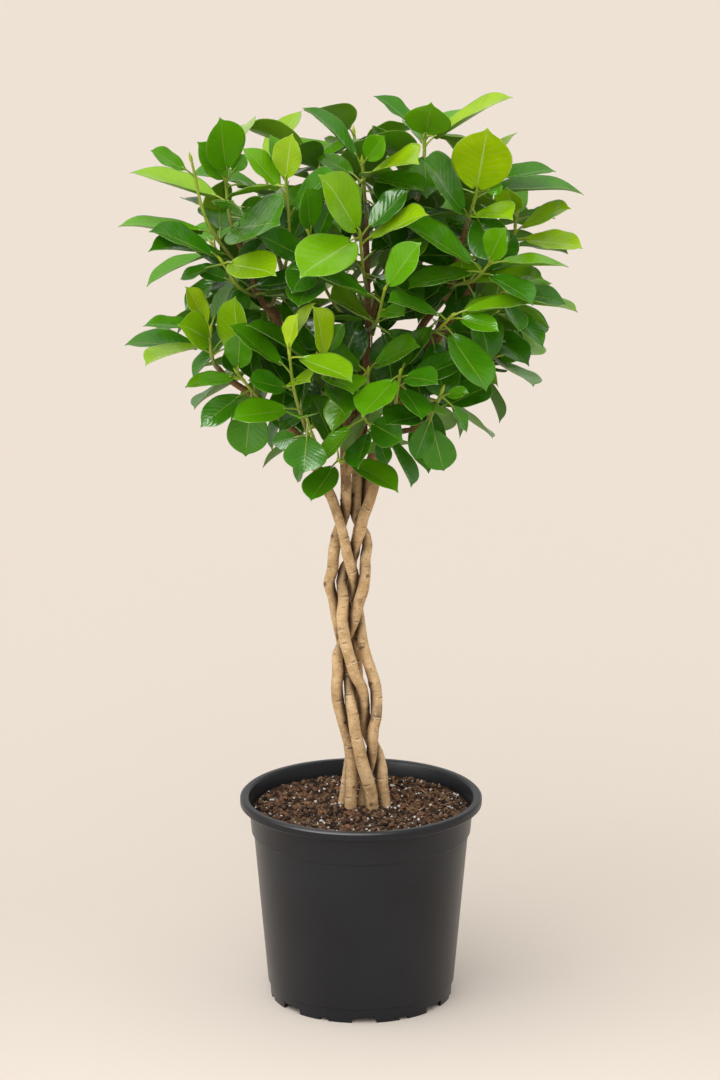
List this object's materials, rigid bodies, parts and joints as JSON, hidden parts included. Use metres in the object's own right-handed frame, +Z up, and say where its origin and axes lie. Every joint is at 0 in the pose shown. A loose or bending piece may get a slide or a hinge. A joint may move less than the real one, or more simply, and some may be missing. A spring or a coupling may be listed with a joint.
{
  "type": "potted ficus",
  "caption": "Indoor fig tree with a braided trunk of slim stems, a round head of glossy leaves and a black nursery pot.",
  "frame": {"origin": "centre of the pot's foot, on the surface that the pot stands on", "axes": "+Z up along the trunk, -Y towards the front of the plant, +X to the viewer's right"},
  "size_m": [0.386, 0.3651, 0.797],
  "materials": {
    "pot": "matte, faintly speckled",
    "soil": "rough, damp potting soil",
    "bark": "smooth tan bark with darker specks",
    "leaf": "glossy, waxy green"
  },
  "bodies": {
    "root": {"pot": "pot", "shoot_back_1": "leaf", "shoot_back_2": "leaf", "shoot_back_3": "leaf", "shoot_back_4": "leaf", "shoot_back_5": "leaf", "shoot_back_6": "leaf", "shoot_back_left_1": "leaf", "shoot_back_left_2": "leaf", "shoot_back_left_3": "leaf", "shoot_back_left_4": "leaf", "shoot_back_left_5": "leaf", "shoot_back_left_6": "leaf", "shoot_back_left_7": "leaf", "shoot_back_right_1": "leaf", "shoot_back_right_2": "leaf", "shoot_back_right_3": "leaf", "shoot_back_right_4": "leaf", "shoot_back_right_5": "leaf", "shoot_back_right_6": "leaf", "shoot_back_right_7": "leaf", "shoot_centre_1": "leaf", "shoot_centre_2": "leaf", "shoot_centre_3": "leaf", "shoot_centre_4": "leaf", "shoot_centre_5": "leaf", "shoot_centre_left": "leaf", "shoot_left_1": "leaf", "shoot_left_2": "leaf", "shoot_left_3": "leaf", "shoot_left_4": "leaf", "shoot_left_5": "leaf", "shoot_left_top_1": "leaf", "shoot_left_top_2": "leaf", "shoot_low_centre": "leaf", "shoot_low_front": "leaf", "shoot_low_left": "leaf", "shoot_low_right_1": "leaf", "shoot_low_right_2": "leaf", "shoot_right_1": "leaf", "shoot_right_2": "leaf", "shoot_right_3": "leaf", "shoot_right_4": "leaf", "shoot_right_top": "leaf", "shoot_top": "leaf", "shoot_top_back": "leaf", "shoot_top_left": "leaf", "shoot_under": "leaf", "soil": "soil", "stem_back": "bark", "stem_front": "bark", "stem_left": "bark", "stem_middle": "bark", "stem_right": "bark"}
  },
  "joints": []
}
